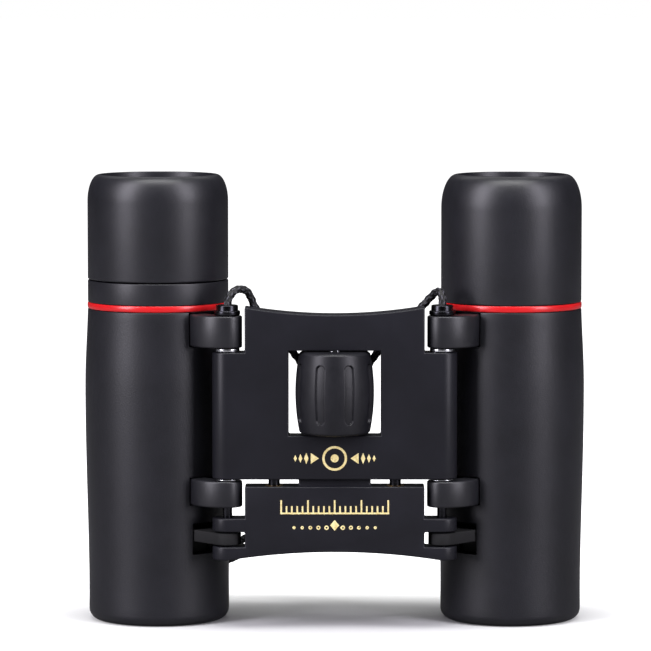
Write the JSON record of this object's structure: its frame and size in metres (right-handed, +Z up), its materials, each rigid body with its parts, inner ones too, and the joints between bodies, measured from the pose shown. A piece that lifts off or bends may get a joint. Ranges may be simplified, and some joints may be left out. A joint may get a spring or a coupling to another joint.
{
  "type": "binoculars",
  "caption": "Compact black folding binoculars with slim roof-prism barrels, red trim rings, a double-hinge bridge, a centre focus wheel and a braided neck cord.",
  "frame": {"origin": "middle of the footprint on the ground, under the centre of the object's box without the strap", "axes": "+Z up along the barrels towards the eyecups, +X from the barrel with the dioptre to the other, -Y the bridge side"},
  "size_m": [0.1064, 0.0702, 0.095],
  "materials": {
    "armour_rubber": "matte",
    "bridge_plastic": "satin",
    "barrel_plastic": "satin",
    "red_trim": "gloss",
    "wheel_rubber": "matte",
    "black_metal": "satin",
    "steel": "satin",
    "brass": "satin",
    "lens_glass": "gloss",
    "coated_glass": "gloss",
    "cord_fabric": "matte",
    "inner_plastic": "matte"
  },
  "bodies": {
    "bridge": {"bridge_plate": "bridge_plastic", "left_hinge_pin": "black_metal", "right_hinge_pin": "black_metal", "hinge_washers": "steel", "guide_rods": "steel", "focus_bush": "brass", "strap_left_run": "cord_fabric", "strap_right_run": "cord_fabric", "strap_coil": "cord_fabric", "strap_tie": "inner_plastic"},
    "focus_wheel": {"focus_wheel_core": "inner_plastic", "focus_wheel_grip": "wheel_rubber", "focus_screw": "steel", "focus_circlip": "steel"},
    "focus_slide": {"focus_plate": "bridge_plastic", "focus_nut": "brass", "guide_bushes": "brass"},
    "left_barrel": {"left_barrel_tube": "barrel_plastic", "left_armour": "armour_rubber", "left_red_ring": "red_trim", "left_eyepiece_body": "inner_plastic", "left_prism_housing": "inner_plastic", "left_half_penta_prism": "lens_glass", "left_roof_prism": "lens_glass", "left_prism_retainer": "steel", "left_prism_screws": "steel", "left_dioptre_collar": "barrel_plastic"},
    "right_barrel": {"right_barrel_tube": "barrel_plastic", "right_armour": "armour_rubber", "right_red_ring": "red_trim", "right_eyepiece_body": "inner_plastic", "right_prism_housing": "inner_plastic", "right_half_penta_prism": "lens_glass", "right_roof_prism": "lens_glass", "right_prism_retainer": "steel", "right_prism_screws": "steel", "right_eyecup": "armour_rubber", "right_ocular_cell": "inner_plastic", "right_eye_lens": "coated_glass", "right_lens_spacer": "inner_plastic", "right_field_lens": "coated_glass", "right_ocular_ring": "inner_plastic"},
    "left_objective": {"left_objective_cell": "inner_plastic", "left_objective_crown": "coated_glass", "left_objective_flint": "lens_glass", "left_objective_ring": "inner_plastic"},
    "right_objective": {"right_objective_cell": "inner_plastic", "right_objective_crown": "coated_glass", "right_objective_flint": "lens_glass", "right_objective_ring": "inner_plastic"},
    "left_eyecup_turn": {"left_eyecup": "armour_rubber"},
    "left_ocular": {"left_ocular_cell": "inner_plastic", "left_eye_lens": "coated_glass", "left_lens_spacer": "inner_plastic", "left_field_lens": "coated_glass", "left_ocular_ring": "inner_plastic"}
  },
  "joints": [
    {"name": "left_hinge", "type": "hinge", "parent": "bridge", "child": "left_barrel", "pos_m": [-0.0225, -0.0118, 0.045], "axis": [0, 0, -1], "range_deg": [0, 57]},
    {"name": "right_hinge", "type": "hinge", "parent": "bridge", "child": "right_barrel", "pos_m": [0.0225, -0.0118, 0.045], "axis": [0, 0, 1], "range_deg": [0, 57]},
    {"name": "focus_turn", "type": "hinge", "parent": "bridge", "child": "focus_wheel", "pos_m": [0, -0.0118, 0.05], "axis": [0, 0, 1], "range_deg": [-300, 120]},
    {"name": "focus_travel", "type": "slide", "parent": "bridge", "child": "focus_slide", "axis": [0, 0, 1], "range_m": [-0.0025, 0.001]},
    {"name": "left_objective_travel", "type": "slide", "parent": "left_barrel", "child": "left_objective", "axis": [0, 0, 1], "range_m": [-0.0025, 0.001]},
    {"name": "right_objective_travel", "type": "slide", "parent": "right_barrel", "child": "right_objective", "axis": [0, 0, 1], "range_m": [-0.0025, 0.001]},
    {"name": "dioptre_turn", "type": "hinge", "parent": "left_barrel", "child": "left_eyecup_turn", "pos_m": [-0.0376, 0.00445, 0.08], "axis": [0, 0, 1], "range_deg": [-75, 75]},
    {"name": "dioptre_travel", "type": "slide", "parent": "left_barrel", "child": "left_ocular", "axis": [0, 0, 1], "range_m": [-0.00084, 0.00084]}
  ],
  "couplings": [
    {"joint": "focus_travel", "follows": "focus_turn", "m_per_rad": 0.00047742},
    {"joint": "left_objective_travel", "follows": "focus_turn", "m_per_rad": 0.00047742},
    {"joint": "right_objective_travel", "follows": "focus_turn", "m_per_rad": 0.00047742},
    {"joint": "dioptre_travel", "follows": "dioptre_turn", "m_per_rad": 0.00064165}
  ]
}
